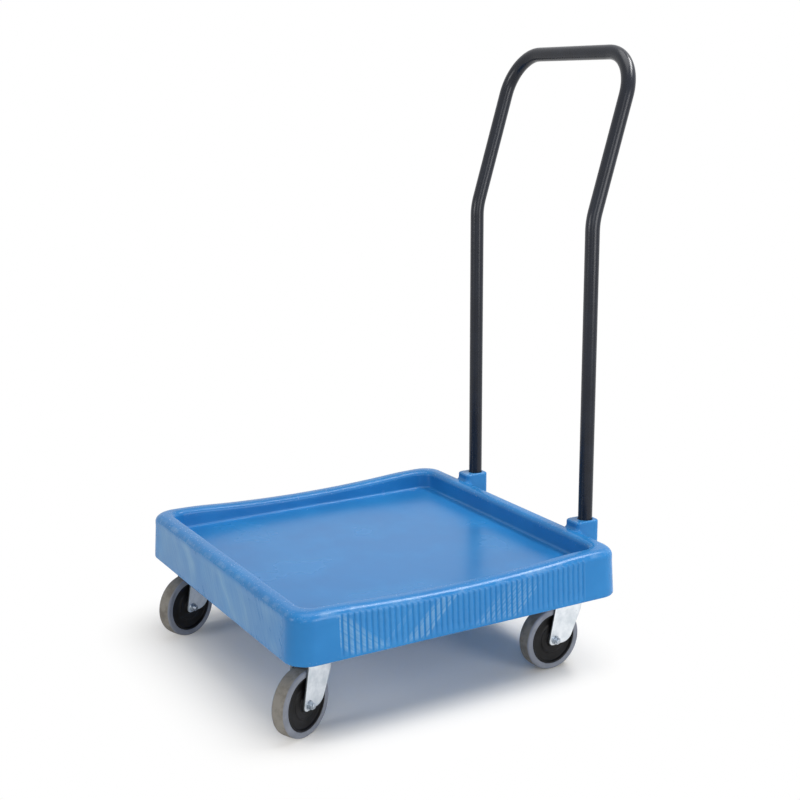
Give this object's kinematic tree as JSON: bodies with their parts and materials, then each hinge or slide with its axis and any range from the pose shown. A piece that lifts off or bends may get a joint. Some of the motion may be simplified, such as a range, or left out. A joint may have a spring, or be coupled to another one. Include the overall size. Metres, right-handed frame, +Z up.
{
  "type": "platform dolly",
  "caption": "Square moulded platform dolly with a recessed deck, dipped fluted side rims, a bent tube push handle at the rear and swivel casters.",
  "frame": {"origin": "on the floor, in the middle of the overall box", "axes": "+Z up, +Y to the rear where the handle stands, +X to the left of a person pushing the dolly"},
  "size_m": [0.59, 0.7192, 1],
  "materials": {
    "blue_polyethylene": "moulded, fine grain with pale scuffs",
    "black_coated_steel": "satin powder coat",
    "zinc_plated_steel": "bright zinc",
    "black_polypropylene": "moulded, smooth",
    "grey_rubber": "matt, worn"
  },
  "bodies": {
    "dolly": {"platform": "blue_polyethylene", "push_handle": "black_coated_steel", "handle_screws": "zinc_plated_steel", "race_plates": "zinc_plated_steel", "caster_stems": "zinc_plated_steel"},
    "front_left_caster": {"front_left_fork": "zinc_plated_steel", "front_left_bearing": "zinc_plated_steel", "front_left_axle": "zinc_plated_steel"},
    "front_left_wheel": {"front_left_hub": "black_polypropylene", "front_left_tread": "grey_rubber"},
    "front_right_caster": {"front_right_fork": "zinc_plated_steel", "front_right_bearing": "zinc_plated_steel", "front_right_axle": "zinc_plated_steel"},
    "front_right_wheel": {"front_right_hub": "black_polypropylene", "front_right_tread": "grey_rubber"},
    "rear_left_caster": {"rear_left_fork": "zinc_plated_steel", "rear_left_bearing": "zinc_plated_steel", "rear_left_axle": "zinc_plated_steel"},
    "rear_left_wheel": {"rear_left_hub": "black_polypropylene", "rear_left_tread": "grey_rubber"},
    "rear_right_caster": {"rear_right_fork": "zinc_plated_steel", "rear_right_bearing": "zinc_plated_steel", "rear_right_axle": "zinc_plated_steel"},
    "rear_right_wheel": {"rear_right_hub": "black_polypropylene", "rear_right_tread": "grey_rubber"}
  },
  "joints": [
    {"name": "front_left_swivel", "type": "hinge", "parent": "dolly", "child": "front_left_caster", "pos_m": [0.225, -0.2785, 0.1177], "axis": [0, 0, 1], "continuous": true},
    {"name": "front_left_roll", "type": "hinge", "parent": "front_left_caster", "child": "front_left_wheel", "pos_m": [0.23787, -0.30714, 0.0525], "axis": [0.9121, 0.4099, 0], "continuous": true},
    {"name": "front_right_swivel", "type": "hinge", "parent": "dolly", "child": "front_right_caster", "pos_m": [-0.225, -0.2785, 0.1177], "axis": [0, 0, 1], "continuous": true},
    {"name": "front_right_roll", "type": "hinge", "parent": "front_right_caster", "child": "front_right_wheel", "pos_m": [-0.2139, -0.30787, 0.0525], "axis": [0.9354, 0.3535, 0], "continuous": true},
    {"name": "rear_left_swivel", "type": "hinge", "parent": "dolly", "child": "rear_left_caster", "pos_m": [0.225, 0.1835, 0.1177], "axis": [0, 0, 1], "continuous": true},
    {"name": "rear_left_roll", "type": "hinge", "parent": "rear_left_caster", "child": "rear_left_wheel", "pos_m": [0.2262, 0.15213, 0.0525], "axis": [0.9993, 0.0384, 0], "continuous": true},
    {"name": "rear_right_swivel", "type": "hinge", "parent": "dolly", "child": "rear_right_caster", "pos_m": [-0.225, 0.1835, 0.1177], "axis": [0, 0, 1], "continuous": true},
    {"name": "rear_right_roll", "type": "hinge", "parent": "rear_right_caster", "child": "rear_right_wheel", "pos_m": [-0.21955, 0.15258, 0.0525], "axis": [0.9848, 0.1736, 0], "continuous": true}
  ]
}
